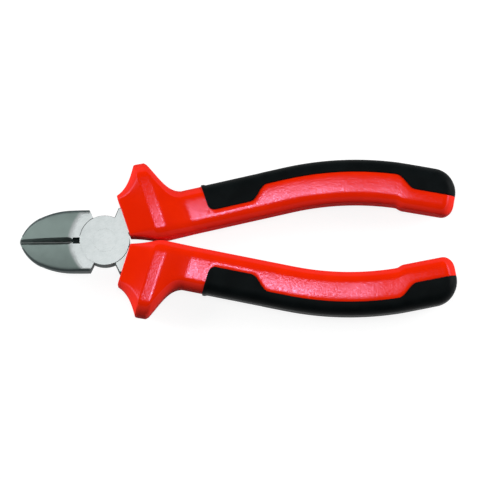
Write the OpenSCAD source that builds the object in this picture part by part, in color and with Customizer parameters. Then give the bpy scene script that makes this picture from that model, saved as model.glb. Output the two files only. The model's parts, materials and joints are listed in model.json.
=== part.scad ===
// Diagonal cutting pliers: two forged levers lapped on one rivet, each tang in a hard moulded
// sleeve with a finger guard and a soft inlay on its outer edge. Both halves are one shape,
// turned half a turn about the tool's long axis. All sizes in millimetres.

/* [Head] */
// Reach from the pivot axis to the tip of the jaws
jaw_reach = 31.2; // [29:0.1:34]
// Length of the curved flank, back from the tip
jaw_curve_l = 19.2; // [18:0.1:20.5]
// Width across both jaws
head_w = 22; // [20.5:0.1:24]
// Thickness of the head at the joint
head_t = 10; // [9:0.1:11]
// Thickness of the jaws at the tip
tip_t = 4; // [3:0.1:6]
// Radius of the jaws' flanks
flank_r = 28; // [26:0.5:31]
// Radius of the nose, from flank to tip
nose_r = 14; // [13:0.5:15]
// Reach of the ground flat from the pivot axis, along the tool
ground_x = 12.5; // [11.5:0.1:15]
// Radius of the jaws' crowned faces where the ground flat ends
crown_r = 60; // [45:1:90]
// Angle of each bevel that runs in to the cutting edge
bevel_angle = 19; // [14:1:24]
// Light left between the closed cutting edges
edge_gap = 0.1; // [0.04:0.02:0.2]
// Length of the relief notch behind the cutting edges
notch_l = 2.6; // [2:0.1:3]
// Width of the relief notch across both jaws
notch_w = 2.3; // [1.6:0.1:3]

/* [Joint] */
// Diameter of the lapped joint discs
joint_d = 18.2; // [16.4:0.1:19.2]
// Radial clearance round each joint disc
disc_clear = 0.3; // [0.2:0.05:0.4]
// Gap between the two lapped faces
lap_gap = 0.1; // [0.04:0.02:0.2]
// Diameter of the rivet's shank
rivet_d = 6; // [5:0.1:7]
// Diameter of the rivet's flush heads
rivet_head_d = 8.4; // [7.6:0.1:9.4]
// Depth of the rivet's flush heads
rivet_head_h = 1.2; // [0.8:0.1:1.6]
// Radial clearance of the rivet in the lever that turns on it
run_clear = 0.04; // [0.02:0.01:0.08]
// Radial clearance of the rivet in the lever that holds it
drive_clear = 0.01; // [0.01:0.01:0.02]
// Angle that the handles open from closed
open_angle = 45; // [30:1:46]
// Angle left between neck and jaw shoulder when fully open
stop_angle = 5; // [3:1:8]
// Direction of the neck's front edge from the pivot axis
neck_angle = 66; // [64:0.5:68]

/* [Tang] */
// Width of the tang
tang_w = 8; // [6:0.1:9]
// Width of the tang near its tip
tang_tip_w = 6; // [4:0.1:7]
// Thickness of the tang
tang_t = 6; // [4:0.1:7]
// Length of the tang along the handle, from the guard
tang_l = 74; // [56:1:84]
// Reach of the neck's front edge from the pivot axis
neck_reach = 12.9; // [12.2:0.1:13.4]
// Width by which the neck is wider than the tang
neck_swell = 1; // [0:0.1:1.5]
// Gap left all round between steel and sleeve
tang_fit = 0.05; // [0.02:0.01:0.1]

/* [Sleeve] */
// Gap between a sleeve's mouth and the joint disc
mouth_clear = 0.3; // [0.25:0.05:0.5]
// Direction that the mouth faces, off the tool's long axis
mouth_angle = 18; // [16:0.5:20]
// Gap between the two mouths
mouth_gap = 2; // [1.4:0.1:3]
// Wall over the steel at the mouth
mouth_wall = 0.8; // [0.6:0.1:1.2]
// Spread across the outer corners of both mouths
mouth_spread = 33; // [31:0.1:35]
// Gap between the sleeves at their nearest
bump_gap = 0.6; // [0.5:0.05:1.2]
// Distance from the mouth to the nearest point of the sleeves
bump_x = 11.8; // [11:0.1:13]
// Length of the flat on the inner edge before that point
bump_l = 1.8; // [1:0.1:3]
// Spread across the tips of both finger guards
guard_spread = 56.8; // [52:0.1:60]
// Distance from the outer mouth corner along the tool to the guard's tip
guard_x = 6.2; // [5:0.1:8]
// Depth of the hollow in the guard's front edge
guard_hollow = 2.8; // [2:0.1:3.4]
// Width of the guard's flat tip
guard_tip_w = 4.2; // [3:0.1:6]
// Width of the guard's crest at its tip
crest_tip_w = 3.4; // [2.4:0.1:4]
// Width of the guard's crest at the inner edge
crest_w = 3.9; // [3.2:0.1:5]
// Thickness of the sleeve at the guard's crest
guard_t = 16.6; // [15:0.1:18]
// Distance along the inner edge from the bump to the waist
waist_l = 12; // [10:0.1:14]
// Width of the handle
handle_w = 15.8; // [15:0.1:18]
// Thickness of the handle
handle_t = 13.6; // [12.5:0.1:15]
// Slant of the handle's straight run to the tool's long axis
handle_angle = 12; // [10:0.5:14]
// Length of the handle's straight run, along its inner edge
straight_l = 49; // [45:0.5:55]
// Radius of the handle's bend, at its inner edge
bend_r = 104; // [90:1:120]
// Angle through which the handle bends
bend_angle = 22.5; // [20:0.5:28]
// Length of the heel after the bend
heel_l = 17.8; // [15:0.1:20]
// Drop of the step on the inner edge at the heel
heel_step = 0.8; // [0.4:0.1:1.2]
// Distance from the handle's end to that step
heel_step_l = 21; // [18:0.1:26]
// Length of the ramp that makes that step
heel_ramp_l = 2.4; // [1.5:0.1:4]
// Rounding of the handle's long edges
edge_round = 4; // [3:0.1:5]
// Rounding of the mouth's inner edges
mouth_round = 1.1; // [0.6:0.1:2]
// Rounding of the mouth's outer edges
mouth_outer_round = 2.2; // [1.5:0.1:3]
// Rounding of the crest's inner end
crest_round = 4.6; // [3:0.1:5.5]
// Rounding of the crest's outer end
crest_tip_round = 6; // [4:0.1:7]
// Plan radius of the handle end's outer corner
end_outer_r = 8.8; // [7:0.1:9.4]
// Plan radius of the handle end's inner corner
end_inner_r = 4.2; // [3:0.1:4.6]
// Fall of each face along the heel to the handle's end
heel_fall = 0.6; // [0:0.1:1]
// Rounding of the handle's end across its thickness
end_face_r = 4; // [2:0.1:5]

/* [Grip] */
// Thickness of the soft inlay
grip_t = 1.8; // [1.2:0.1:2.4]
// Height by which the inlay stands proud of the sleeve
grip_proud = 0.25; // [0:0.05:0.4]
// Height of the inlay's front lip on its outer edge
lip_h = 0.35; // [0:0.05:0.6]
// Length of that lip
lip_l = 1.8; // [1:0.1:2.2]
// Gap left all round between inlay and sleeve
grip_fit = 0.03; // [0.02:0.01:0.06]
// Distance along the inner edge from the bump to the inlay's front
grip_start = 19.6; // [17:0.1:24]
// Distance from the inner edge to the inlay on its front pad
pad_u = 6.1; // [5.5:0.1:8]
// Distance from the inner edge to the inlay along its narrow strip
strip_u = 11.2; // [10:0.1:11.4]
// Distance from the inner edge to the inlay on the heel
heel_u = 6.8; // [6:0.1:7]
// Length of the front pad
pad_l = 15; // [12:0.1:20]
// Length of the slant from pad to strip
slant_l = 7; // [5:0.1:9]
// Distance from the handle's end to the slant that widens the strip to the heel
heel_pad_l = 22; // [19:0.1:26]
// Corner radius of the pad's front
pad_r = 2.2; // [1:0.1:3]

/* [Hidden] */
$fn = 96;

joint_r = joint_d / 2;
recess_r = joint_r + disc_clear;
half_head_t = head_t / 2;
half_lap = lap_gap / 2;
shoulder_angle = neck_angle + open_angle + stop_angle;
// Run-out that carries a cut clear through what it cuts
over = 1;

function lerp(a, b, t) = a + (b - a) * t;
function polar(r, a) = r * [cos(a), sin(a)];
function bezier(p, t) = p[0] * pow(1 - t, 3) + 3 * p[1] * t * pow(1 - t, 2)
    + 3 * p[2] * t * t * (1 - t) + p[3] * pow(t, 3);
function smooth(t) = let (c = min(1, max(0, t))) c * c * (3 - 2 * c);
// Drop of a corner of radius r, at distance e from the end that it rounds
function corner_drop(r, e) = e >= r ? 0 : r - sqrt(r * r - pow(r - max(e, 0), 2));

// Jaw outline: the nose circle passes through the tip and crosses the flank circle at a slight turn
nose_turn = 4;
flank_x = jaw_curve_l - jaw_reach;
flank_c = [flank_x, head_w / 2 - flank_r];
jaw_tip = [-jaw_reach, 0];
tip_run = norm(jaw_tip - flank_c);
tip_dir = (jaw_tip - flank_c) / tip_run;
nose_run = sqrt(flank_r * flank_r + nose_r * nose_r - 2 * flank_r * nose_r * cos(nose_turn));
nose_along = (nose_run * nose_run - nose_r * nose_r + tip_run * tip_run) / (2 * tip_run);
nose_aside = sqrt(nose_run * nose_run - nose_along * nose_along);
nose_c = flank_c + nose_along * tip_dir + nose_aside * [tip_dir[1], -tip_dir[0]];
blend_x = flank_c[0] + flank_r * (nose_c[0] - flank_c[0]) / nose_run;

// Handle: the inner edge runs straight from the bump, bends, and ends in a straight heel
mouth_r = joint_r + mouth_clear;
function mouth_at(y) = [(mouth_r - y * sin(mouth_angle)) / cos(mouth_angle), y];
mouth_in = mouth_at(mouth_gap / 2);
mouth_out = mouth_at(mouth_spread / 2);
bump = [mouth_in[0] + bump_x, bump_gap / 2];
bump_front = bump - [bump_l, 0];
function across(a) = [-sin(a), cos(a)];
bend_start = bump + straight_l * polar(1, handle_angle);
bend_c = bend_start - bend_r * across(handle_angle);
bend_l = bend_r * bend_angle * PI / 180;
heel_angle = handle_angle - bend_angle;
heel_start = bend_c + bend_r * across(heel_angle);
heel_from = straight_l + bend_l;
handle_l = heel_from + heel_l;
// Point at distance l along the inner edge and u across the handle
function handle_at(l, u) =
    l <= straight_l ? bump + l * polar(1, handle_angle) + u * across(handle_angle) :
    l <= heel_from ? bend_c + (bend_r + u) * across(handle_angle - (l - straight_l) / bend_r * 180 / PI) :
    heel_start + (l - heel_from) * polar(1, heel_angle) + u * across(heel_angle);

// Overall: origin under the middle of the tool, lying on its guards
end_corner = handle_at(handle_l - end_outer_r, handle_w - end_outer_r);
end_x = end_corner[0] + end_outer_r + grip_proud;
module place() translate([(jaw_reach - end_x) / 2, 0, guard_t / 2]) children();
module other_half() rotate([180, 0, 0]) children();

// Levers

// Plan of one jaw, running past the line of the cutting edge
module jaw_plan() {
    intersection() {
        union() {
            intersection() {
                translate(flank_c) circle(r = flank_r);
                union() {
                    translate(nose_c) circle(r = nose_r);
                    translate([blend_x, -over]) square([flank_x - blend_x, head_w]);
                }
            }
            translate([flank_x, -over]) square([-flank_x, head_w / 2 + over]);
        }
        translate([-jaw_reach - over, -over]) square([jaw_reach + over, head_w]);
        rotate(shoulder_angle) square(jaw_reach + head_w);
    }
}

// Both jaw faces: each is a crowned cone that lies along the tool and falls from the ground flat to the tip
module jaw_faces() {
    slope = (head_t - tip_t) / 2 / (jaw_reach - ground_x);
    cone_l = jaw_reach + over;
    intersection_for (face = [0, 1]) mirror([0, 0, face]) translate([-cone_l, 0, half_head_t - crown_r])
        rotate([0, 90, 0]) cylinder(r1 = crown_r - slope * (cone_l - ground_x), r2 = crown_r + slope * ground_x,
            h = cone_l, $fn = 360);
}

// Wedges of air before and behind the lower jaw's cutting edge
module edge_bevels() {
    edge = edge_gap / 2;
    face = edge + half_head_t * tan(bevel_angle);
    rotate([90, 0, -90]) linear_extrude(jaw_reach + over)
        polygon([[edge, 0], [face, half_head_t], [face, half_head_t + over], [-2 * over, half_head_t + over],
            [-2 * over, -half_head_t - over], [face, -half_head_t - over], [face, -half_head_t]]);
}

module jaw() {
    notch_end = recess_r + notch_l;
    difference() {
        intersection() {
            linear_extrude(head_t, center = true) mirror([0, 1]) jaw_plan();
            jaw_faces();
        }
        edge_bevels();
        translate([-notch_end, -notch_w / 2, -half_head_t - over]) cube([notch_end, notch_w, head_t + 2 * over]);
    }
}

// Full-thickness neck from the joint into the sleeve; grow widens it for the sleeve's pocket
module neck(grow) {
    half_w = (tang_w + neck_swell) / 2 + grow;
    root = -neck_swell - bump_l;
    foot = polar(joint_r - over, mouth_angle);
    linear_extrude(head_t + 2 * grow, center = true)
        polygon([[0, 0], foot - grow * across(mouth_angle), handle_at(root, handle_w / 2 - half_w),
            handle_at(root, handle_w / 2 + half_w), polar(neck_reach, neck_angle) + grow * across(neck_angle)]);
}

// Tang along the middle of the handle: it follows the start of the bend and tapers to its end
module tang(grow) {
    root = -bump_l - neck_swell - over;
    stops = [[root, tang_w], [straight_l, tang_w], [(straight_l + tang_l) / 2, (tang_w + tang_tip_w) / 2],
        [tang_l - tang_tip_w / 4, tang_tip_w], [tang_l + grow, tang_tip_w / 2]];
    function side(k, way) = handle_at(stops[k][0], handle_w / 2 + way * (stops[k][1] / 2 + grow));
    linear_extrude(tang_t + 2 * grow, center = true)
        polygon([for (k = [0:4]) side(k, -1), for (k = [4:-1:0]) side(k, 1)]);
}

// Bore and countersinks for the rivet, or the rivet itself at zero clearance
module rivet_form(clear) {
    cylinder(d = rivet_d + 2 * clear, h = head_t, center = true);
    for (side = [0, 1]) mirror([0, 0, side]) translate([0, 0, half_head_t - rivet_head_h])
        cylinder(r1 = rivet_d / 2 + clear, r2 = rivet_head_d / 2 + clear, h = rivet_head_h);
}

// Lower jaw, front joint disc, upper neck and tang
module lever(bore_clear) {
    difference() {
        union() {
            jaw();
            cylinder(r = joint_r, h = half_head_t);
            neck(0);
            tang(0);
        }
        translate([0, 0, -half_head_t - over]) cylinder(r = recess_r, h = half_head_t + over + half_lap);
        rivet_form(bore_clear);
    }
}

// Handle sections: u runs from the inner edge outward, v through the thickness

round_steps = 4;
function fillet(u, v, r, from) = [for (k = [0:round_steps]) [u, v] + polar(r, from + 90 * k / round_steps)];

// A station: outer point, inner point, half thickness, inner rounding, outer rounding, width
least_flat = 0.3;
function station(outer, inner, half_t, inner_round, outer_round) =
    let (limit = min(half_t, norm(outer - inner) / 2) - least_flat)
    [outer, inner, half_t, min(inner_round, limit), min(outer_round, limit), norm(outer - inner)];

// Guard: from the mouth up to the crest, over it, and down to the waist
tip_front = [mouth_out[0] + guard_x, guard_spread / 2];
tip_rear = tip_front + [guard_tip_w, 0];
slant = handle_w * tan(mouth_angle - handle_angle);
waist_out = handle_at(waist_l - slant, handle_w);
half_mouth_t = half_head_t + mouth_wall;
guard_front = [mouth_out, lerp(mouth_out, tip_front, 0.45) + guard_hollow * [0.35, -1],
    lerp(mouth_out, tip_front, 0.8) + guard_hollow * [0.05, -0.8], tip_front];
guard_run = norm(waist_out - tip_rear);
guard_rear = [tip_rear, lerp(tip_rear, waist_out, 0.35) - [0, 0.05 * guard_run],
    waist_out - 0.32 * guard_run * polar(1, handle_angle - 10), waist_out];
front_n = 7;
rear_n = 9;
crest_end = tip_front + [crest_tip_w, 0];
crest_l = crest_w - bump_l;
// Share of the rear slope that lies before the guard's rear corner
corner_share = (guard_tip_w - crest_tip_w) / (waist_l - crest_l);
function crest_station(outer, inner) = station(outer, inner, guard_t / 2, crest_round, crest_tip_round);
guard_stations = concat(
    [for (k = [0:front_n - 1]) let (t = k / front_n)
        station(bezier(guard_front, t), lerp(mouth_in, bump_front, t), lerp(half_mouth_t, guard_t / 2, t),
            lerp(mouth_round, crest_round, t), lerp(mouth_outer_round, crest_tip_round, t))],
    [crest_station(tip_front, bump_front),
     crest_station(lerp(tip_front, crest_end, bump_l / crest_w), bump),
     crest_station(crest_end, handle_at(crest_l, 0))],
    [for (k = [0:rear_n - 1]) let (t = lerp(corner_share, 1, k / rear_n))
        station(bezier(guard_rear, k / rear_n), handle_at(lerp(crest_l, waist_l, t), 0),
            lerp(guard_t / 2, handle_t / 2, t), lerp(crest_round, edge_round, t),
            lerp(crest_tip_round, edge_round, t))]);

// Drop of the inner edge past the heel's step
function step_at(l) = heel_step * smooth((l - handle_l + heel_step_l) / heel_ramp_l);

// Body: constant width along the handle, squaring its stations up by the bend, rounded at the end
function body_station(l) =
    let (left = handle_l - l,
        lean = slant * (1 - smooth((l - grip_start) / (straight_l - grip_start))),
        step = step_at(l),
        inner_u = corner_drop(end_inner_r, left) - step,
        outer_u = handle_w - corner_drop(end_outer_r, left))
    station(handle_at(l - lean, outer_u), handle_at(l, inner_u),
        handle_t / 2 - heel_fall * pow(max(0, 1 - left / heel_step_l), 2) - corner_drop(end_face_r, left),
        edge_round, edge_round);

// Where the inlay's edge crosses each section, measured from the inner edge of the body
pad_end = grip_start + pad_l;
heel_pad = handle_l - heel_pad_l;
function seam_u(l) = corner_drop(pad_r, l - grip_start)
    + lerp(lerp(pad_u, strip_u, smooth((l - pad_end) / slant_l)), heel_u, smooth((l - heel_pad) / slant_l));
function seam_on_station(l) = seam_u(l) - corner_drop(end_inner_r, handle_l - l)
    + step_at(l);

// Half sections as open paths, all with the same number of points
function inner_path(s, seam) = concat([[seam, s[2]]], fillet(s[3], s[2] - s[3], s[3], 90),
    fillet(s[3], s[3] - s[2], s[3], 180), [[seam, -s[2]]]);
// On the outside a rounding takes no more than its share of the width, and the flat has one point
round_share = 0.8;
flat_share = 0.4;
function outer_path(s, seam, proud = 0, lip = 0) =
    let (v = s[2] + proud, u = s[5] + proud + lip,
        r = min(s[4], round_share * (s[5] - seam)) + proud,
        flat = lerp(seam, u - r, flat_share))
    concat([[flat, -v]], fillet(u - r, r - v, r, 270), fillet(u - r, v - r, r, 0), [[flat, v]]);
// Floor of the inlay's pocket, a shrunken copy of the handle that ends short of its end
floor_r = 0.3;
floor_flat = 0.1;
function pocket_path(l, s, seam, depth) =
    let (left = handle_l - l - depth,
        end_gain = corner_drop(end_outer_r, left + depth) - corner_drop(end_outer_r - depth, left),
        v = s[2] - depth,
        u = max(seam + floor_r + floor_flat, s[5] - depth + end_gain),
        r = max(floor_r, min(s[4] - depth, v - floor_flat, u - seam - floor_flat)))
    concat([[seam, -v]], fillet(u - r, r - v, r, 270), fillet(u - r, v - r, r, 0), [[seam, v]]);
// Past the pocket's end the section closes straight along the seam
path_n = 2 * round_steps + 4;
function closing_path(s, seam) = [for (k = [1:path_n]) [seam, s[2] * (2 * k / (path_n + 1) - 1)]];

function reversed(list) = [for (k = [len(list) - 1:-1:0]) list[k]];
// Section points set out in space on a station
function ring(s, path) =
    let (dir = (s[0] - s[1]) / s[5])
    [for (p = path) [s[1][0] + p[0] * dir[0], s[1][1] + p[0] * dir[1], p[1]]];

// Closed solid through a list of rings. The end closes on its middle, and so does the front,
// unless arm gives the number of points on the outside of a hooked section.
module loft(rings, arm = 0) {
    n = len(rings[0]);
    last = len(rings) - 1;
    function middle(r) = [for (p = r) 1] * r / n;
    points = concat([for (r = rings) each r], [middle(rings[0]), middle(rings[last])]);
    sides = [for (i = [0:last - 1], j = [0:n - 1])
        let (a = i * n + j, b = i * n + (j + 1) % n, c = a + n, d = b + n)
        each [[a, c, d], [a, d, b]]];
    closed_front = [for (j = [0:n - 1]) [j, (j + 1) % n, len(points) - 2]];
    hooked_front = concat([[0, 1, n - 1], [arm - 2, arm - 1, arm]],
        [for (j = [1:arm - 3]) each [[j, j + 1, n - 1 - j], [j, n - 1 - j, n - j]]]);
    back = [for (j = [0:n - 1]) [last * n + (j + 1) % n, last * n + j, len(points) - 1]];
    polyhedron(points, concat(arm == 0 ? closed_front : hooked_front, sides, back), convexity = 10);
}

// Distances along the inner edge at which the body has a section
section_gap = 4.5;
least_gap = 0.5;
pocket_end = handle_l - grip_t;
bare_n = 3;
corner_n = 3;
slant_n = 5;
heel_n = 8;
round_n = 6;
bare_ls = [for (k = [0:bare_n - 1]) lerp(waist_l, grip_start, k / bare_n)];
corner_ls = [for (k = [0:corner_n]) grip_start + pad_r * (1 - cos(90 * k / corner_n))];
pad_ls = [for (l = [grip_start + pad_r + section_gap:section_gap:pad_end - least_gap]) l];
slant_ls = [for (k = [0:slant_n]) pad_end + slant_l * k / slant_n];
strip_ls = [for (l = [pad_end + slant_l + section_gap:section_gap:heel_pad - least_gap]) l];
heel_ls = [for (k = [0:heel_n]) heel_pad + slant_l * k / heel_n];
round_ls = [for (k = [0:round_n]) handle_l - end_outer_r * (1 - sin(90 * k / round_n))];
grip_ls = concat(corner_ls, pad_ls, slant_ls, strip_ls, heel_ls,
    [for (l = round_ls) if (l > heel_pad + slant_l + least_gap) l]);
covered_ls = [for (l = grip_ls) if (l < pocket_end - least_gap) l];
closing_ls = [for (l = grip_ls) if (l > pocket_end + least_gap) l];

function sleeve_ring(s, seam, path) = ring(s, concat(inner_path(s, seam), path));
function pocket_ring(l, wide) =
    let (s = body_station(l), seam = seam_on_station(l) - wide)
    sleeve_ring(s, seam, pocket_path(l, s, seam, grip_t + wide));
function closing_ring(l, wide) =
    let (s = body_station(l), seam = seam_on_station(l) - wide)
    sleeve_ring(s, seam, closing_path(s, seam));

sleeve_rings = concat(
    [for (s = guard_stations) sleeve_ring(s, pad_u, outer_path(s, pad_u))],
    [for (l = concat(bare_ls, [grip_start - grip_fit]))
        let (s = body_station(l)) sleeve_ring(s, pad_u, outer_path(s, pad_u))],
    [for (l = covered_ls) pocket_ring(l, grip_fit)],
    [pocket_ring(pocket_end - grip_fit, grip_fit), closing_ring(pocket_end, grip_fit)],
    [for (l = closing_ls) closing_ring(l, grip_fit)]);

function lip_at(l) = lip_h * (1 - smooth(2 * (l - grip_start) / lip_l - 1));
function grip_ring(l, s, seam, path) =
    let (v = s[2] + grip_proud)
    ring(s, concat([[seam, -v]], outer_path(s, seam, grip_proud, lip_at(l)), [[seam, v]], reversed(path)));
function covered_grip(l) =
    let (s = body_station(l), seam = seam_on_station(l)) grip_ring(l, s, seam, pocket_path(l, s, seam, grip_t));
function closing_grip(l) =
    let (s = body_station(l), seam = seam_on_station(l)) grip_ring(l, s, seam, closing_path(s, seam));

grip_rings = concat(
    [for (l = covered_ls) covered_grip(l)],
    [covered_grip(pocket_end), closing_grip(pocket_end + grip_fit)],
    [for (l = closing_ls) closing_grip(l)]);

module sleeve() {
    difference() {
        loft(sleeve_rings);
        neck(tang_fit);
        tang(tang_fit);
    }
}

module grip() loft(grip_rings, path_n + 2);

// Sub-parts

module front_lever() color("silver") place() lever(run_clear);
module rear_lever() color("silver") place() other_half() lever(drive_clear);
module pivot_rivet() color("gainsboro") place() rivet_form(0);
module upper_sleeve() color("orangered") place() sleeve();
module lower_sleeve() color("orangered") place() other_half() sleeve();
module upper_grip() color("#16191a") place() grip();
module lower_grip() color("#16191a") place() other_half() grip();

front_lever();
rear_lever();
pivot_rivet();
upper_sleeve();
lower_sleeve();
upper_grip();
lower_grip();
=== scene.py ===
import json
import math
from collections import namedtuple

import bmesh
import bpy
from mathutils import Matrix, Vector


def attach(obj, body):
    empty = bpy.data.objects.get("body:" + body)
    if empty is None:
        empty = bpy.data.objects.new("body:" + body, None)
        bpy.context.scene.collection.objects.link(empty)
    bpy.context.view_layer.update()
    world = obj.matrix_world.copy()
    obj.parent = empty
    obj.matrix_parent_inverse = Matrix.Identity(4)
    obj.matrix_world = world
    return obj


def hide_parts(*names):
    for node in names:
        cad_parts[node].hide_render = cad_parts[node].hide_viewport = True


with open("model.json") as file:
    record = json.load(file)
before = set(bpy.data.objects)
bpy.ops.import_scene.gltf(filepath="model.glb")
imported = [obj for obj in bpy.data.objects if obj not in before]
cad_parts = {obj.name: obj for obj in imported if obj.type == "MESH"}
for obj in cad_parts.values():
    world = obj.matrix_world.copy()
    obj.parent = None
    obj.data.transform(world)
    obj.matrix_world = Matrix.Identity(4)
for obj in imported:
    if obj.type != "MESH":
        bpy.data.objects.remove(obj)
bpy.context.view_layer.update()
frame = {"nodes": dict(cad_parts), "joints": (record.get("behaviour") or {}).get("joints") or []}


# Forged levers
# Two drop-forged tool-steel halves, lapped at the joint. The joint faces and the roots of the jaws are
# ground flat and bright; the crowned jaw faces keep a darker satin finish with painted shade where they
# tilt, and the sides are rougher and painted dark as shade.

mm = 0.001
pivot = Vector(frame["joints"][0]["pos_m"])


def lerp(a, b, t):
    return a + (b - a) * t


def spread(count, start=0.0, end=1.0):
    """Values at even steps from start to end, both included."""
    return [lerp(start, end, k / count) for k in range(count + 1)]


def polar(radius, degrees):
    angle = math.radians(degrees)
    return radius * Vector((math.cos(angle), math.sin(angle)))


def across(degrees):
    """The direction square to this one, on its left."""
    return polar(1, degrees + 90)


# Sizes in millimetres from the pivot axis on the middle plane. The front lever has the lower jaw and
# the upper tang; the rear lever is the same forging turned over.
jaw_reach = 31.2
flank_l = 12
flank_r = 28
nose_r = 14
nose_turn = 4
nose_l = 3
tip_blunt = 0.06
head_half_w = 11.25
head_half_t = 5
tip_half_t = 2
ground_l = 12.6
ground_blend = 0.18
crown_r = 78
tip_bevel = 25
root_bevel = 14
bevel_run_out = 1.5
least_bevel = 0.3
widest_bevel = 0.85
edge_gap = 0.012
jaw_round = 1.15
shoulder_angle = 116
joint_r = 9.1
recess_r = 9.25
half_lap = 0.05
rim_round = 0.1
flush = 0.004
notch_x = 11.7
notch_w = 1.15
notch_web = 0.5
notch_lap = 0.25

# How many steps a rounding or a run is made in
edge_steps = 4
bevel_steps = 3
face_steps = 16
turn_steps = 6
nose_steps = 12
flank_steps = 44
shoulder_steps = 24

flank_c = Vector((-flank_l, head_half_w - flank_r))
jaw_tip = Vector((-jaw_reach, 0))
tip_run = (jaw_tip - flank_c).length
tip_dir = (jaw_tip - flank_c) / tip_run
nose_run = math.sqrt(flank_r ** 2 + nose_r ** 2
                     - 2 * flank_r * nose_r * math.cos(math.radians(nose_turn)))
nose_along = (nose_run ** 2 - nose_r ** 2 + tip_run ** 2) / (2 * tip_run)
nose_aside = math.sqrt(nose_run ** 2 - nose_along ** 2)
nose_c = flank_c + nose_along * tip_dir + nose_aside * Vector((tip_dir.y, -tip_dir.x))
blend_x = flank_c.x + flank_r * (nose_c.x - flank_c.x) / nose_run
face_slope = (head_half_t - tip_half_t) / (jaw_reach - ground_l)


def jaw_half_w(x):
    """Distance from the cutting edge to the outer edge of a jaw."""
    if x >= -flank_l:
        return head_half_w
    flank = flank_c.y + math.sqrt(flank_r ** 2 - (x - flank_c.x) ** 2)
    nose = nose_c.y + math.sqrt(max(0, nose_r ** 2 - (x - nose_c.x) ** 2))
    return nose if x < blend_x else flank


def crown_z(x, y):
    """Height of the forged face over the middle plane, before its root is ground flat."""
    cone_r = crown_r + face_slope * (x + ground_l)
    return head_half_t - crown_r + math.sqrt(cone_r ** 2 - y ** 2)


def face_z(x, y):
    """Height of the finished face, where the forged face runs softly into the ground one."""
    forged = crown_z(x, y)
    near = max(0, 1 - abs(forged - head_half_t) / ground_blend)
    return min(forged, head_half_t) - near ** 2 * ground_blend / 4 - flush


def bevel_at(x):
    """Sideways run of the cutting bevel for each millimetre of height; it runs out before the notch."""
    share = min(1, (x + jaw_reach) / (jaw_reach - notch_x))
    run = math.tan(math.radians(lerp(tip_bevel, root_bevel, share)))
    to_notch = min(1, max(0, (-notch_x - x) / bevel_run_out))
    return run * lerp(least_bevel, 1, math.sqrt(to_notch))


def jaw_section(x_at):
    """The lower jaw's section from cutting edge to outer edge and back; x_at gives x at each y."""
    wide = jaw_half_w(x_at(head_half_w))
    bevel = bevel_at(x_at(0))

    def upper_z(y):
        return min(face_z(x_at(y), y), (y - edge_gap) / bevel)

    # The face falls away from the edge, so the top of the bevel is found in a few rounds
    top = edge_gap
    for _ in range(8):
        top = edge_gap + face_z(x_at(top), top) * bevel
    top = min(top, lerp(edge_gap, wide, widest_bevel))
    r = min(jaw_round, (wide - top) / 2)
    turn_y = wide - r
    tilt = math.atan(turn_y / crown_r)
    turn = Vector((turn_y, upper_z(turn_y) - r / math.cos(tilt)))
    half = [Vector((y, (y - edge_gap) / bevel)) for y in spread(bevel_steps, edge_gap, top)]
    face_ys = spread(face_steps, top, turn_y + r * math.sin(tilt))[1:-1]
    half += [Vector((y, upper_z(y))) for y in face_ys]
    half += [turn + polar(r, a) for a in spread(turn_steps, 90 - math.degrees(tilt), 0)]
    half.append(Vector((wide, turn.y / 2)))
    section = half + [Vector((wide, 0))] + [Vector((p.x, -p.y)) for p in half[:0:-1]]
    return [Vector((x_at(p.x), -p.x, max(-head_half_t, min(head_half_t, p.y)))) for p in section]


def jaw_rows():
    """Sections from the tip to the shoulder, the last ones leaning over to the shoulder's slant."""
    shoulder = math.tan(math.radians(shoulder_angle - 90))
    nose_xs = [-jaw_reach + tip_blunt + nose_l * t * t for t in spread(nose_steps)]
    xs = nose_xs + spread(flank_steps, nose_xs[-1], -flank_l)[1:]
    rows = [jaw_section(lambda y, x=x: x) for x in xs]
    for t in spread(shoulder_steps)[1:]:
        rows.append(jaw_section(lambda y, t=t: lerp(-flank_l, -y * shoulder, t)))
    return rows


def closed_mesh(rings):
    """A closed body through rings of points in millimetres, with a cap at each end."""
    body = bmesh.new()
    rows = [[body.verts.new(p) for p in points] for points in rings]
    count = len(rows[0])
    for a, b in zip(rows, rows[1:]):
        for k in range(count):
            body.faces.new((a[k], b[k], b[(k + 1) % count], a[(k + 1) % count]))
    body.faces.new(rows[0])
    body.faces.new(rows[-1][::-1])
    bmesh.ops.recalc_face_normals(body, faces=body.faces)
    return body


def as_object(name, body):
    mesh = bpy.data.meshes.new(name)
    body.to_mesh(mesh)
    body.free()
    piece = bpy.data.objects.new(name, mesh)
    bpy.context.scene.collection.objects.link(piece)
    return piece


def joined(piece, body, operation):
    """Adds another body to the piece, or cuts it out of the piece."""
    tool = as_object("cutter", body)
    step = piece.modifiers.new("join", "BOOLEAN")
    step.object = tool
    step.operation = operation
    step.solver = "EXACT"
    made = bpy.data.meshes.new_from_object(piece.evaluated_get(bpy.context.evaluated_depsgraph_get()))
    piece.modifiers.clear()
    old = piece.data
    piece.data = made
    bpy.data.meshes.remove(old)
    bpy.data.objects.remove(tool)


def turned(profile, count=128):
    """A turned body about the pivot axis, from radius and height pairs."""
    angles = [360 * k / count for k in range(count)]
    return closed_mesh([[Vector((*polar(r, a), z)) for a in angles] for r, z in profile])


def inset(outline, margin):
    """A plan outline, given counter-clockwise, with its sides moved inward by a margin."""
    moved = []
    for k, p in enumerate(outline):
        before = (p - outline[k - 1]).normalized()
        after = (outline[(k + 1) % len(outline)] - p).normalized()
        normal = Vector((-before.y - after.y, before.x + after.x))
        moved.append(p + normal * (2 * margin / normal.length_squared))
    return moved


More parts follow.
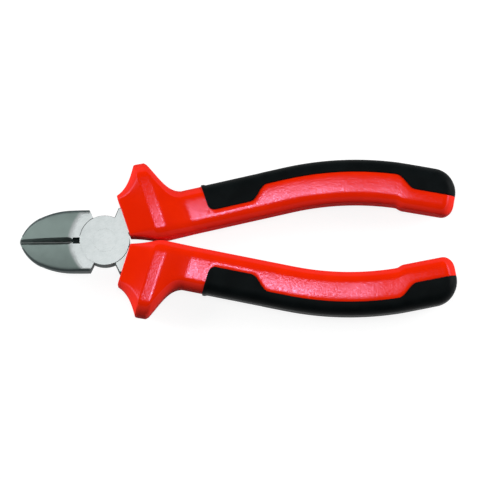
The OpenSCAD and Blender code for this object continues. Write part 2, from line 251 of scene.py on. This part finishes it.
def plate(outline, low, high, edge=0.0):
    """A flat body of that plan, with its edges rounded over."""
    turns = [math.radians(a) for a in (spread(edge_steps, 0, 90) if edge else [0])]
    steps = [(edge * (1 - math.sin(a)), edge * (1 - math.cos(a))) for a in turns]
    rings = [[Vector((*p, low + drop)) for p in inset(outline, margin)] for margin, drop in steps]
    for margin, drop in steps[::-1]:
        rings.append([Vector((*p, high - drop)) for p in inset(outline, margin)])
    return closed_mesh(rings)


def box(x0, x1, y0, y1):
    return [Vector((x0, y0)), Vector((x1, y0)), Vector((x1, y1)), Vector((x0, y1))]


# The tang follows the handle's line: straight from the bump, a bend, and a straight heel
mouth_r = 9.4
mouth_angle = 18
mouth_in_y = 1.4
bump_x = 11.8
bump_y = 0.3
bump_l = 1.8
handle_w = 15.8
handle_angle = 12
straight_l = 49
bend_r = 104
bend_angle = 22.5
heel_l = 17.8


def mouth_at(y):
    """The point of the sleeve's slanted mouth at that distance from the middle line."""
    slope = math.radians(mouth_angle)
    return Vector(((mouth_r - y * math.sin(slope)) / math.cos(slope), y))


bump = mouth_at(mouth_in_y) + Vector((bump_x, bump_y - mouth_in_y))
bend_c = bump + polar(straight_l, handle_angle) - bend_r * across(handle_angle)
heel_angle = handle_angle - bend_angle
heel_start = bend_c + bend_r * across(heel_angle)
heel_from = straight_l + bend_r * math.radians(bend_angle)
handle_l = heel_from + heel_l


def handle_at(along, u):
    """The point at that distance along the handle's inner edge, and u across it."""
    if along <= straight_l:
        return bump + polar(along, handle_angle) + u * across(handle_angle)
    if along <= heel_from:
        turn = math.degrees((along - straight_l) / bend_r)
        return bend_c + (bend_r + u) * across(handle_angle - turn)
    return heel_start + polar(along - heel_from, heel_angle) + u * across(heel_angle)


neck_angle = 66
neck_reach = 12.9
neck_foot_r = 8.1
neck_edge = 0.3
neck_swell = 1
tang_w = 8
tang_tip_w = 6
tang_half_t = 3
tang_l = 74
tang_lap = 1
tang_edge = 0.4


def neck_plan(grow=0.0):
    half_w = (tang_w + neck_swell) / 2 + grow
    root = -neck_swell - bump_l
    return [Vector((0, 0)), polar(neck_foot_r, mouth_angle) - grow * across(mouth_angle),
            handle_at(root, handle_w / 2 - half_w), handle_at(root, handle_w / 2 + half_w),
            polar(neck_reach, neck_angle) + grow * across(neck_angle)]


def tang_plan(grow=0.0):
    middle = ((straight_l + tang_l) / 2, (tang_w + tang_tip_w) / 2)
    stops = [(-bump_l - neck_swell - tang_lap, tang_w), (straight_l, tang_w), middle,
             (tang_l - tang_tip_w / 4, tang_tip_w), (tang_l + grow, tang_tip_w / 2)]
    near = [handle_at(along, handle_w / 2 - w / 2 - grow) for along, w in stops]
    return near + [handle_at(along, handle_w / 2 + w / 2 + grow) for along, w in stops[::-1]]


rivet_r = 3
rivet_head_r = 4.2
rivet_head_h = 1.2
cut_past = 1
beyond_t = head_half_t + cut_past


def rivet_hole(clear):
    """A bore with a countersink at each end, which a cut takes past both faces."""
    r = rivet_r + clear
    head = rivet_head_r + clear
    sink = head_half_t - rivet_head_h
    out = head + cut_past * (head - r) / rivet_head_h
    return turned([(out, -beyond_t), (r, -sink), (r, sink), (out, beyond_t)])


weld = 0.002
gap_sides = 8


def lever_forging(name, bore_clear):
    piece = as_object(name, closed_mesh(jaw_rows()))
    notch = box(-notch_x, notch_lap - joint_r, -notch_w, cut_past)
    for low, high in ((notch_web, beyond_t), (-beyond_t, -notch_web)):
        joined(piece, plate(notch, low, high), "DIFFERENCE")
    rim = [(joint_r - rim_round * (1 - math.sin(a)), head_half_t - rim_round * (1 - math.cos(a)))
           for a in spread(edge_steps, math.pi / 2, 0)]
    joined(piece, turned([(joint_r, 0), *rim]), "UNION")
    neck_half_t = head_half_t - 2 * flush
    joined(piece, plate(neck_plan(), -neck_half_t, neck_half_t, neck_edge), "UNION")
    joined(piece, plate(tang_plan(), -tang_half_t, tang_half_t, tang_edge), "UNION")
    joined(piece, turned([(recess_r, -beyond_t), (recess_r, half_lap)]), "DIFFERENCE")
    joined(piece, rivet_hole(bore_clear), "DIFFERENCE")
    body = bmesh.new()
    body.from_mesh(piece.data)
    bmesh.ops.remove_doubles(body, verts=body.verts, dist=weld)
    bmesh.ops.dissolve_degenerate(body, edges=body.edges, dist=weld)
    bmesh.ops.holes_fill(body, edges=[e for e in body.edges if e.is_boundary], sides=gap_sides)
    body.to_mesh(piece.data)
    body.free()
    return piece


def place(piece, over):
    """Moves a piece from its own millimetres into the tool's frame, turned over for the other half."""
    flip = Matrix.Rotation(math.pi if over else 0, 4, "X")
    piece.data.transform(Matrix.Translation(pivot) @ flip @ Matrix.Scale(mm, 4))


def shade(piece, material, sharp):
    """Gives a piece its material, and smooth shading except over edges sharper than that angle."""
    mesh = piece.data
    mesh.shade_smooth()
    mesh.set_sharp_from_angle(angle=math.radians(sharp))
    mesh.materials.clear()
    mesh.materials.append(material)
    even = piece.modifiers.new("even_normals", "WEIGHTED_NORMAL")
    even.keep_sharp = True


class Shade:
    """One socket of a material's node tree. Arithmetic on it adds Math nodes."""

    def __init__(self, tree, socket):
        self.tree = tree
        self.socket = socket

    def node(self, kind, settings=None, inputs=None, output=0):
        """Any other node: its type, its settings, and the values or links of its sockets."""
        made = self.tree.nodes.new(kind)
        for name, value in (settings or {}).items():
            setattr(made, name, value)
        for name, value in (inputs or {}).items():
            self.feed(made.inputs[name], value)
        return Shade(self.tree, made.outputs[output])

    def feed(self, target, value):
        """Sets a socket to a value, or links it to another socket."""
        if isinstance(value, Shade):
            self.tree.links.new(value.socket, target)
        else:
            target.default_value = value

    def math(self, operation, *values):
        return self.node("ShaderNodeMath", {"operation": operation}, dict(enumerate(values)))

    def __add__(self, other):
        return self.math("ADD", self, other)

    __radd__ = __add__

    def __sub__(self, other):
        return self.math("SUBTRACT", self, other)

    def __rsub__(self, other):
        return self.math("SUBTRACT", other, self)

    def __mul__(self, other):
        return self.math("MULTIPLY", self, other)

    __rmul__ = __mul__

    def __abs__(self):
        return self.math("ABSOLUTE", self)

    def most(self, other):
        """The larger of the two."""
        return self.math("MAXIMUM", self, other)

    def axis(self, index):
        """One part of a vector: 0 along the tool, 1 across it, 2 upward."""
        return self.node("ShaderNodeSeparateXYZ", {}, {0: self}, index)

    def step(self, low, high):
        """0 below low and 1 above high, with a soft rise between."""
        inputs = {"Value": self, "From Min": low, "From Max": high}
        return self.node("ShaderNodeMapRange", {"interpolation_type": "SMOOTHSTEP"}, inputs)

    def blend(self, low, high):
        """Colour low where this is 0 and high where it is 1, in the colour sockets of a Mix node."""
        return self.node("ShaderNodeMix", {"data_type": "RGBA"}, {0: self, 6: low, 7: high}, 2)


def paint(red, green, blue):
    """A colour given as on screen, 0 to 255, in the linear values that shaders take."""
    def linear(value):
        value = value / 255
        return value / 12.92 if value <= 0.04045 else ((value + 0.055) / 1.055) ** 2.4
    return (linear(red), linear(green), linear(blue), 1)


def new_finish(name):
    """A material, the point on the piece in its own frame, and the shader that the material ends in."""
    material = bpy.data.materials.new(name)
    material.use_nodes = True
    tree = material.node_tree
    point = Shade(tree, tree.nodes.new("ShaderNodeTexCoord").outputs["Object"])
    return material, point, tree.nodes["Principled BSDF"]


def level_at(point):
    """1 where the surface is level and 0 where it is upright."""
    return abs(point.node("ShaderNodeNewGeometry", output="Normal").axis(2))


def stretched(point, scale, turn):
    """The point on the piece, turned in plan and scaled on each axis, for grain that runs one way."""
    inputs = {"Vector": point, "Angle": math.radians(turn)}
    swung = point.node("ShaderNodeVectorRotate", {"rotation_type": "Z_AXIS"}, inputs)
    return point.node("ShaderNodeVectorMath", {"operation": "MULTIPLY"}, {0: swung, 1: scale})


def grain(point, size, detail):
    """Noise from 0 to 1 whose features are about that size in metres, or 1 on a stretched point."""
    return point.node("ShaderNodeTexNoise", {}, {"Vector": point, "Scale": 1 / size, "Detail": detail})


def relief(point, height, depth, strength=1.0):
    """The normal of a surface with that relief, where a height of 1 is that depth in metres."""
    inputs = {"Strength": strength, "Distance": depth, "Height": height}
    return point.node("ShaderNodeBump", {}, inputs)


# Where the finishes and the painted shade of the steel change, in millimetres or by how level the
# surface is, how strong the marks of the wheel, of the cross strokes and of the forging are, and how
# rough it all is
forged_depth = 0.2
ground_depth = 0.03
joint_zone_r = 12
lap_low = 4.2
lap_high = 4.6
edge_zone_w = 1.9
zone_fade = 0.2
upright_band = (0.9, 0.985)
tilt_shade_band = (0.962, 0.988)
mark_band = (0.32, 0.68)
wheel_share = 0.35
cross_share = 0.2
mottle_share = 0.45
face_rough = 0.4
mark_rough = 0.04
side_rough = 0.35
mark_depth = 0.01
mark_strength = 0.05

steel, point, shader = new_finish("ground_steel")
ahead = point.axis(0) - pivot.x
aside = point.axis(1) - pivot.y
off_middle = abs(point.axis(2) - pivot.z)
level = level_at(point)
upright = 1 - level.step(*upright_band)
# Painted shade: the crowned jaw faces are painted darker the more they tilt away from level
painted_tilt_shade = 1 - level.step(*tilt_shade_band)
ground = off_middle.step((head_half_t - forged_depth) * mm, (head_half_t - ground_depth) * mm)
zone_in = joint_zone_r * mm
zone_out = (joint_zone_r + zone_fade) * mm
near_joint = 1 - (ahead * ahead + aside * aside).step(zone_in ** 2, zone_out ** 2)
lapped = near_joint * (1 - off_middle.step(lap_low * mm, lap_high * mm))
beside_edge = 1 - abs(aside).step(edge_zone_w * mm, (edge_zone_w + zone_fade) * mm)
# Upright sides and the lapped recess round the joint: painted shade in the colour, and a rougher finish
sides = (upright * (1 - beside_edge)).most(lapped)
bevels = upright * beside_edge * (1 - near_joint)
wheel_marks = grain(stretched(point, (9000, 700, 700), 68), 1, 3.0)
cross_marks = grain(stretched(point, (6000, 900, 900), 20), 1, 3.0)
mottle = grain(point, 2.5 * mm, 4.0)
marks = wheel_marks * wheel_share + cross_marks * cross_share + mottle * mottle_share
marks = marks.step(*mark_band)
bright = marks.blend(paint(198, 205, 205), paint(224, 230, 230))
# Satin finish, painted darker where the face tilts: painted shade
satin_and_tilt_shade = painted_tilt_shade.blend(paint(160, 178, 173), paint(124, 138, 135))
honed = marks.blend(paint(156, 166, 164), paint(168, 177, 175))
# Painted shade for the upright sides and the lapped recess
painted_side_shade = marks.blend(paint(84, 94, 94), paint(94, 104, 104))
faces = bevels.blend(ground.blend(satin_and_tilt_shade, bright), honed)
point.feed(shader.inputs["Base Color"], sides.blend(faces, painted_side_shade))
point.feed(shader.inputs["Roughness"], face_rough + marks * mark_rough + sides * side_rough)
point.feed(shader.inputs["Normal"], relief(point, marks, mark_depth * mm, mark_strength))
shader.inputs["Metallic"].default_value = 1

run_clear = 0.02
drive_clear = 0.01
for node, body, clear, over in (("front_lever", "front_half", run_clear, False),
                                ("rear_lever", "rear_half", drive_clear, True)):
    piece = lever_forging(node + "_forging", clear)
    place(piece, over)
    shade(piece, steel, 30)
    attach(piece, body)
    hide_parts(node)


# Joint rivet
# A steel rivet, headed over into both countersinks and ground flush with the joint faces. The rear
# lever holds it and the front lever turns on it.
rivet = frame["nodes"]["pivot_rivet"]
rivet.data.materials.clear()
rivet.data.materials.append(steel)


# Hard sleeves
# Orange-red plastic moulded on each tang, with a finger guard at the front, a crest across the guard,
# a waist behind it and a bent handle. A shallow pocket along the outer edge takes the soft inlay.

def smooth(t):
    """A soft rise from 0 to 1."""
    t = min(1, max(0, t))
    return t * t * (3 - 2 * t)


def bezier(p, t):
    s = 1 - t
    return p[0] * s ** 3 + p[1] * (3 * t * s ** 2) + p[2] * (3 * t * t * s) + p[3] * t ** 3


def corner_drop(radius, left):
    """Drop of a round corner at this distance from the end that it rounds."""
    left = max(left, 0)
    return 0 if left >= radius else radius - math.sqrt(radius ** 2 - (radius - left) ** 2)


mouth_out_y = 16.5
mouth_half_t = 5.8
mouth_edge = 0.25
guard_x = 6.2
guard_y = 28.6
guard_slant = 0.7
guard_tip_w = 4.2
guard_hollow = 2.8
guard_half_t = 8.3
crest_tip_w = 3.8
crest_w = 4.4
tip_ease = 0.2
waist_l = 12
waist_swell = 0.11
waist_fade = 2.5
grip_start = 19.6
handle_half_t = 6.8
heel_step = 0.8
heel_step_l = 21
heel_ramp_l = 2.4
heel_fall = 0.6
edge_round = 4
inner_edge_round = 4.4
mouth_round = 1.1
mouth_outer_round = 2.2
crest_round = 4.6
crest_tip_round = 6
end_outer_r = 8.8
end_inner_r = 4.2
end_face_r = 4
least_flat = 0.3
widest_turn = 0.8
tang_fit = 0.05

# Share of a run that lies between a crease of the guard and the next ring, and share of the crest
# over which the front corner of its tip is eased
crease = 0.045
crest_in = 4 * crease

mouth_in = mouth_at(mouth_in_y)
mouth_out = mouth_at(mouth_out_y)
bump_front = bump - Vector((bump_l, 0))
tip_front = Vector((mouth_out.x + guard_x, guard_y - guard_slant))
tip_rear = tip_front + Vector((guard_tip_w, guard_slant))
crest_end = lerp(tip_front, tip_rear, crest_tip_w / guard_tip_w)
crest_l = crest_w - bump_l
lean = handle_w * math.tan(math.radians(mouth_angle - handle_angle))
waist_out = handle_at(waist_l - lean, handle_w)
corner_share = (guard_tip_w - crest_tip_w) / (waist_l - crest_l)

# Curves of the guard in plan: a hollow front edge, and a rear edge that sweeps into the handle
guard_front = [mouth_out,
               lerp(mouth_out, tip_front, 0.45) + guard_hollow * Vector((0.35, -1)),
               lerp(mouth_out, tip_front, 0.8) + guard_hollow * Vector((0.05, -0.8)),
               tip_front]
guard_run = (waist_out - tip_rear).length
guard_rear = [tip_rear,
              lerp(tip_rear, waist_out, 0.35) - Vector((0, 0.05 * guard_run)),
              waist_out - polar(0.32 * guard_run, handle_angle - 10),
              waist_out]

# A station says where a section of the handle lies, how thick it is and how its edges are rounded
Station = namedtuple("Station", "outer inner half_t inner_round outer_round")


def station(outer, inner, half_t, inner_round, outer_round):
    limit = min(half_t, (outer - inner).length / 2) - least_flat
    return Station(outer, inner, half_t, min(inner_round, limit), min(outer_round, limit))


def front_station(t):
    """From the mouth, 0, to the front of the crest, 1."""
    inner = Vector((lerp(mouth_in.x, bump_front.x, t), lerp(mouth_in.y, bump_front.y, t * t)))
    return station(bezier(guard_front, t), inner, lerp(mouth_half_t, guard_half_t, t),
                   lerp(mouth_round, crest_round, t), lerp(mouth_outer_round, crest_tip_round, t))


def crest_station(t):
    """Across the level crest, from its front, 0, to its rear, 1."""
    along = t * crest_w - bump_l
    inner = bump + Vector((along, 0)) if along < 0 else handle_at(along, 0)
    eased_in = tip_ease * max(0, 1 - t / crest_in) ** 2
    outer = lerp(tip_front, crest_end, t) - Vector((0, eased_in))
    return station(outer, inner, guard_half_t, crest_round, crest_tip_round)


def rear_station(t):
    """From the rear of the crest, 0, down to the waist, 1."""
    e = lerp(corner_share, 1, t)
    return station(bezier(guard_rear, t), handle_at(lerp(crest_l, waist_l, e), 0),
                   lerp(guard_half_t, handle_half_t + waist_swell, e),
                   lerp(crest_round, inner_edge_round, e), lerp(crest_tip_round, edge_round, e))


def step_at(along):
    """How far the heel stands out past the line of the handle's inner edge."""
    return heel_step * smooth((along - handle_l + heel_step_l) / heel_ramp_l)


def body_station(along):
    """From the waist to the heel's round end, by distance along the handle."""
    left = handle_l - along
    leaning = lean * (1 - smooth((along - grip_start) / (straight_l - grip_start)))
    fall = heel_fall * max(0, 1 - left / heel_step_l) ** 2 + corner_drop(end_face_r, left)
    return station(handle_at(along - leaning, handle_w - corner_drop(end_outer_r, left)),
                   handle_at(along, corner_drop(end_inner_r, left) - step_at(along)),
                   handle_half_t + waist_swell * math.exp((waist_l - along) / waist_fade) - fall,
                   inner_edge_round, edge_round)


# Sections: u runs from the inner edge outward and v through the thickness. The inner rounding is
# flatter than a circle, the faces are slightly crowned, and they dip along the seam with the inlay.
round_steps = 8
flat_steps = 6
round_middle = 0.3
seam_edge = 0.15
inner_depth = 0.55
face_crown = 0.028
seam_dip = 0.2
seam_dip_w = 1.7
dip_in_l = 3
dip_out_l = 5


def fillet(u, v, radius, start, depth=1.0):
    turns = [polar(radius, start + 90 * k / round_steps) for k in range(round_steps + 1)]
    return [Vector((u + p.x, v + depth * p.y)) for p in turns]


def flat(u0, u1, v):
    return [Vector((u, v)) for u in spread(flat_steps, u0, u1)[1:-1]]


def eased(u, v, way_u, way_v, edge):
    """The three points of a small rounded edge at a corner of a section, from its wall to its face."""
    return [Vector((u, v + way_v * edge)),
            Vector((u + round_middle * way_u * seam_edge, v + round_middle * way_v * edge)),
            Vector((u + way_u * seam_edge, v))]


def inner_side(section, seam, edge=0.0, dip=0.0):
    """The hard side of a section; its face dips a little toward the seam with the inlay."""
    r = section.inner_round
    v = section.half_t
    deep = v - inner_depth * r
    face = []
    for t in spread(flat_steps)[1:-1]:
        u = lerp(seam - seam_edge, r, t * t)
        face.append(Vector((u, v - dip * max(0, 1 - (seam - u) / seam_dip_w) ** 2)))
    under = [Vector((p.x, -p.y)) for p in face[::-1]]
    return [*eased(seam, v - dip, -1, -1, edge), *face, *fillet(r, deep, r, 90, inner_depth),
            *fillet(r, -deep, r, 180, inner_depth), *under, *eased(seam, dip - v, -1, 1, edge)[::-1]]


def rounded_side(seam, u, v, r):
    """The outer side of a section from the seam underneath, round the edge and back to the seam."""
    return [*flat(seam, u - r, -v), *fillet(u - r, r - v, r, 270), *fillet(u - r, v - r, r, 0),
            *flat(u - r, seam, v)]


def outer_side(section, seam, proud=0.0, lip=0.0):
    width = (section.outer - section.inner).length
    r = min(section.outer_round, widest_turn * (width - seam)) + proud
    return rounded_side(seam, width + proud + lip, section.half_t + proud, r)


def ring(section, path):
    """A section set out on its station, with its faces slightly crowned."""
    width = (section.outer - section.inner).length
    out = (section.outer - section.inner) / width
    points = []
    for p in path:
        crown = 1 - face_crown * (2 * p.x / width - 1) ** 2
        points.append(Vector((*(section.inner + p.x * out), p.y * crown)))
    return points


# Where the inlay's edge crosses each section, and the floor of its pocket
pad_u = 6.1
strip_u = 11.2
heel_u = 6.8
pad_l = 15
slant_l = 7
heel_pad_l = 22
pad_r = 2.2
inlay_t = 1.8
inlay_fit = 0.03
least_pocket = 0.4
least_turn = 0.3
turn_room = 0.1
ring_gap = 0.15
pocket_end = handle_l - inlay_t


def seam_at(along):
    """Distance from the section's inner end to the inlay's edge."""
    to_strip = smooth((along - grip_start - pad_l) / slant_l)
    to_heel = smooth((along - handle_l + heel_pad_l) / slant_l)
    u = lerp(lerp(pad_u, strip_u, to_strip), heel_u, to_heel)
    u += corner_drop(pad_r, along - grip_start)
    return u - corner_drop(end_inner_r, handle_l - along) + step_at(along)


def pocket_side(section, along, seam, depth):
    """The floor of the pocket, at that depth under the sleeve's own outline."""
    left = handle_l - along - depth
    gain = corner_drop(end_outer_r, left + depth) - corner_drop(end_outer_r - depth, left)
    v = section.half_t - depth
    u = max(seam + least_pocket, (section.outer - section.inner).length - depth + gain)
    r = max(least_turn, min(section.outer_round - depth, v - turn_room, u - seam - turn_room))
    return rounded_side(seam, u, v, r)


path_n = len(outer_side(front_station(0), pad_u))


def closing_side(section, seam):
    """A plain wall at the seam, where the inlay takes the whole of the rounded end."""
    high = section.half_t - 2 * seam_edge
    return [Vector((seam, high * (2 * k / (path_n + 1) - 1))) for k in range(1, path_n + 1)]


def bare_ring(section, margin=0.0):
    return ring(section, inset(inner_side(section, pad_u) + outer_side(section, pad_u), margin))


def hard_side(section, along, seam):
    dip = seam_dip * smooth((along - grip_start) / dip_in_l) * smooth((handle_l - along) / dip_out_l)
    return inner_side(section, seam, seam_edge, dip)


def pocket_ring(along):
    section = body_station(along)
    seam = seam_at(along) - inlay_fit
    floor = pocket_side(section, along, seam, inlay_t + inlay_fit)
    return ring(section, hard_side(section, along, seam) + floor)


def closing_ring(along):
    section = body_station(along)
    seam = seam_at(along) - inlay_fit
    return ring(section, hard_side(section, along, seam) + closing_side(section, seam))


# Where the rings of the sleeve stand: close together at the inlay's front corners and round the end
corner_steps = 8
run_steps = 72
end_steps = 16
guard_steps = 16
crest_steps = 4
waist_steps = 6
waist_ring = 0.6
corner_ls = [grip_start + pad_r * (1 - math.cos(math.radians(a))) for a in spread(corner_steps, 0, 90)]
run_ls = spread(run_steps, grip_start + pad_r, handle_l - end_outer_r)[1:-1]
end_turns = [math.radians(a) for a in spread(end_steps, 0, 90)]
round_ls = [handle_l - end_outer_r * (1 - math.sin(a)) for a in end_turns]
inlay_ls = corner_ls + run_ls + round_ls
covered_ls = [along for along in inlay_ls if along < pocket_end - ring_gap]
closing_ls = [along for along in inlay_ls if along > pocket_end + ring_gap]
waist_ls = [waist_l, waist_l + waist_ring, *spread(waist_steps, waist_l, grip_start)[1:-1],
            grip_start - inlay_fit]
mouth_share = mouth_edge / (bump_x - bump_l)
sleeve_rings = []
for a in spread(edge_steps, math.pi / 2, 0):
    mouth_lip = front_station(mouth_share * (1 - math.sin(a)))
    sleeve_rings.append(bare_ring(mouth_lip, mouth_edge * (1 - math.cos(a))))
front_ts = (*spread(guard_steps, mouth_share)[1:-1], 1 - crease)
crest_ts = (0, *spread(crest_steps, crest_in, 1 - crest_in), 1)
rear_ts = (crease, *spread(guard_steps)[1:-1], 1 - crease)
sleeve_rings += [bare_ring(front_station(t)) for t in front_ts]
sleeve_rings += [bare_ring(crest_station(t)) for t in crest_ts]
sleeve_rings += [bare_ring(rear_station(t)) for t in rear_ts]
sleeve_rings += [bare_ring(body_station(along)) for along in waist_ls]
sleeve_rings += [pocket_ring(along) for along in (*covered_ls, pocket_end - inlay_fit)]
sleeve_rings += [closing_ring(along) for along in (pocket_end, *closing_ls)]

# The level faces are polished with a fine texture; the turned-down edges and the walls are matt
matt_band = (0.84, 0.975)
textured_band = (0.985, 0.998)
noise_band = (0.3, 0.7)
polished_rough = 0.11
texture_base = 0.02
texture_rough = 0.09
wall_rough = 0.75
sink_depth = 0.22
texture_depth = 0.028

plastic, point, shader = new_finish("sleeve_plastic")
level = level_at(point)
matt = 1 - level.step(*matt_band)
textured = level.step(*textured_band)
fine = grain(point, 0.7 * mm, 2.0)
cloud = grain(point, 9 * mm, 3.0)
sink = grain(point, 18 * mm, 0.0)
orange_red = cloud.step(*noise_band).blend(paint(244, 37, 0), paint(250, 41, 0))
texture = textured * (fine.step(*noise_band) * texture_rough + texture_base)
point.feed(shader.inputs["Base Color"], orange_red)
point.feed(shader.inputs["Roughness"], polished_rough + texture + matt * wall_rough)
point.feed(shader.inputs["Normal"], relief(point, sink * sink_depth + fine * texture_depth, mm))
shader.inputs["Specular IOR Level"].default_value = 0.4
shader.inputs["Specular Tint"].default_value = (1.0, 0.6, 1.0, 1)

for node, body, over in (("upper_sleeve", "front_half", False), ("lower_sleeve", "rear_half", True)):
    piece = as_object(node + "_moulding", closed_mesh(sleeve_rings))
    for plan, half_t in ((neck_plan, head_half_t + tang_fit), (tang_plan, tang_half_t + tang_fit)):
        joined(piece, plate(plan(tang_fit), -half_t, half_t), "DIFFERENCE")
    place(piece, over)
    shade(piece, plastic, 32)
    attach(piece, body)
    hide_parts(node)


# Soft inlays
# Black rubber-like inlay, moulded into the pocket as a second shot. It stands a little proud of the
# sleeve, with a low lip at its front on the outer edge.
inlay_proud = 0.2
inlay_edge = 0.25
lip_h = 0.35
lip_l = 1.8


def lip_at(along):
    return lip_h * (1 - smooth(2 * (along - grip_start) / lip_l - 1))


def inlay_ring(along, inside):
    """A section of the inlay: its outside, and the side that lies in the pocket."""
    section = body_station(along)
    seam = seam_at(along)
    proud = inlay_proud - corner_drop(inlay_proud, along - grip_start)
    v = section.half_t + proud
    outside = [*eased(seam, -v, 1, 1, inlay_edge),
               *outer_side(section, seam + seam_edge, proud, lip_at(along)),
               *eased(seam, v, 1, -1, inlay_edge)[::-1]]
    return ring(section, outside + inside(section, along, seam)[::-1])


def floor_side(section, along, seam):
    return pocket_side(section, along, seam, inlay_t)


def end_side(section, along, seam):
    return closing_side(section, seam)


inlay_rings = [inlay_ring(along, floor_side) for along in (*covered_ls, pocket_end)]
inlay_rings += [inlay_ring(along, end_side) for along in (pocket_end + inlay_fit, *closing_ls)]

rubber_rough = 0.46
pore_rough = 0.14
pore_depth = 0.006

rubber, point, shader = new_finish("inlay_rubber")
pores = grain(point, 0.2 * mm, 2.0)
haze = grain(point, 6 * mm, 3.0)
black = haze.step(*noise_band).blend(paint(7, 11, 12), paint(12, 17, 18))
point.feed(shader.inputs["Base Color"], black)
point.feed(shader.inputs["Roughness"], rubber_rough + pores * pore_rough)
point.feed(shader.inputs["Normal"], relief(point, pores * pore_depth, mm))
shader.inputs["Specular IOR Level"].default_value = 0.05

for node, body, over in (("upper_grip", "front_half", False), ("lower_grip", "rear_half", True)):
    piece = as_object(node + "_inlay", closed_mesh(inlay_rings))
    place(piece, over)
    shade(piece, rubber, 40)
    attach(piece, body)
    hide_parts(node)


# Studio
# A white table, a narrow soft box nearly overhead, an upright soft box at each end of the tool, a little
# toward its far side, and a camera that looks down on the tool from slightly in front of it.
table_half = 3.0
table_glow = 0.88
table_mesh = bpy.data.meshes.new("table")
corners = [(-table_half, -table_half, 0), (table_half, -table_half, 0),
           (table_half, table_half, 0), (-table_half, table_half, 0)]
table_mesh.from_pydata(corners, [], [(0, 1, 2, 3)])
table = bpy.data.objects.new("table", table_mesh)
bpy.context.scene.collection.objects.link(table)

white, point, shader = new_finish("white_table")
speck = grain(point, 40 * mm, 2.0)
point.feed(shader.inputs["Base Color"], speck.blend(paint(137, 137, 137), paint(141, 141, 141)))
shader.inputs["Roughness"].default_value = 0.9
shader.inputs["Specular IOR Level"].default_value = 0
seen = point.node("ShaderNodeLightPath", output="Is Camera Ray")
seen = seen.most(point.node("ShaderNodeLightPath", output="Is Glossy Ray"))
seen = seen.most(point.node("ShaderNodeLightPath", output="Is Transmission Ray"))
glow = point.node("ShaderNodeEmission", {}, {"Color": (1, 1, 1, 1), "Strength": seen * table_glow})
lit = Shade(white.node_tree, shader.outputs[0])
both = point.node("ShaderNodeAddShader", {}, {0: lit, 1: glow})
point.feed(white.node_tree.nodes["Material Output"].inputs["Surface"], both)
table_mesh.materials.append(white)

world = bpy.data.worlds.new("room")
bpy.context.scene.world = world
world.use_nodes = True
room = world.node_tree.nodes["Background"]
room.inputs["Color"].default_value = (0.03, 0.031, 0.032, 1)
room.inputs["Strength"].default_value = 1


def soft_light(name, spot, width, height, radiance):
    """A rectangular lamp that faces the tool, with the brightness of its own surface."""
    lamp = bpy.data.lights.new(name, "AREA")
    lamp.shape = "RECTANGLE"
    lamp.size = width
    lamp.size_y = height
    lamp.energy = radiance * math.pi * width * height
    made = bpy.data.objects.new(name, lamp)
    made.location = spot
    made.rotation_euler = (-Vector(spot)).to_track_quat("-Z", "Y").to_euler()
    made.visible_camera = False
    bpy.context.scene.collection.objects.link(made)


soft_light("overhead_box", (0.01, 0.035, 0.8), width=0.05, height=0.14, radiance=36.5)
for name, x in (("left_box", -1.15), ("right_box", 1.15)):
    soft_light(name, (x, 0.37, 0.5), width=0.7, height=0.9, radiance=8.9)

camera_tilt = math.radians(7)
camera_turn = math.radians(-0.74)
camera_reach = 1.6
view_width = 0.176
aim = Vector((0.00058, 0.00002, pivot.z))
camera_data = bpy.data.cameras.new("camera")
camera = bpy.data.objects.new("camera", camera_data)
bpy.context.scene.collection.objects.link(camera)
camera.location = aim + camera_reach * Vector((0, -math.sin(camera_tilt), math.cos(camera_tilt)))
turn = Matrix.Rotation(camera_tilt, 3, "X") @ Matrix.Rotation(camera_turn, 3, "Z")
camera.rotation_euler = turn.to_euler()
camera_data.angle = 2 * math.atan(view_width / 2 / camera_reach)
bpy.context.scene.camera = camera
bpy.context.scene.view_settings.view_transform = "Standard"
